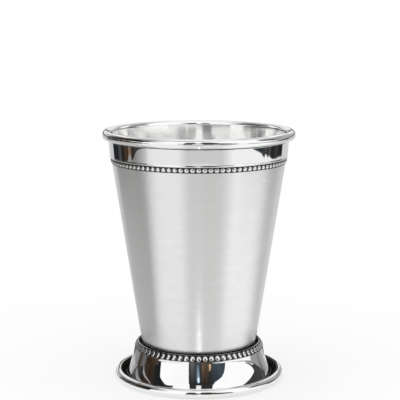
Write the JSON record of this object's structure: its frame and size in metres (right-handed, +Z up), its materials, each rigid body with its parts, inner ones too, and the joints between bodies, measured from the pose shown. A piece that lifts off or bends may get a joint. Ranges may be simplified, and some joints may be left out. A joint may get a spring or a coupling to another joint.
{
  "type": "julep cup",
  "caption": "Tapered metal julep cup with a rolled rim, polished collar, two rows of beading and a flared foot.",
  "frame": {"origin": "centre of the plane that the foot stands on", "axes": "+Z up along the cup's axis, out of its mouth; the cup is round, so X and Y are free"},
  "size_m": [0.089, 0.089, 0.1165],
  "materials": {
    "satin_steel": "satin, brushed round the axis",
    "polished_steel": "mirror polish",
    "beading_steel": "polished crowns, darker in the hollows",
    "plate_steel": "plain rolled sheet",
    "solder": "dull silver solder"
  },
  "bodies": {
    "root": {"cup_body": "satin_steel", "rim_roll": "polished_steel", "mouth_collar": "polished_steel", "mouth_beading": "beading_steel", "foot_skirt": "polished_steel", "foot_beading": "beading_steel", "foot_roll": "polished_steel", "foot_plate": "plate_steel", "solder_ring": "solder"}
  },
  "joints": []
}
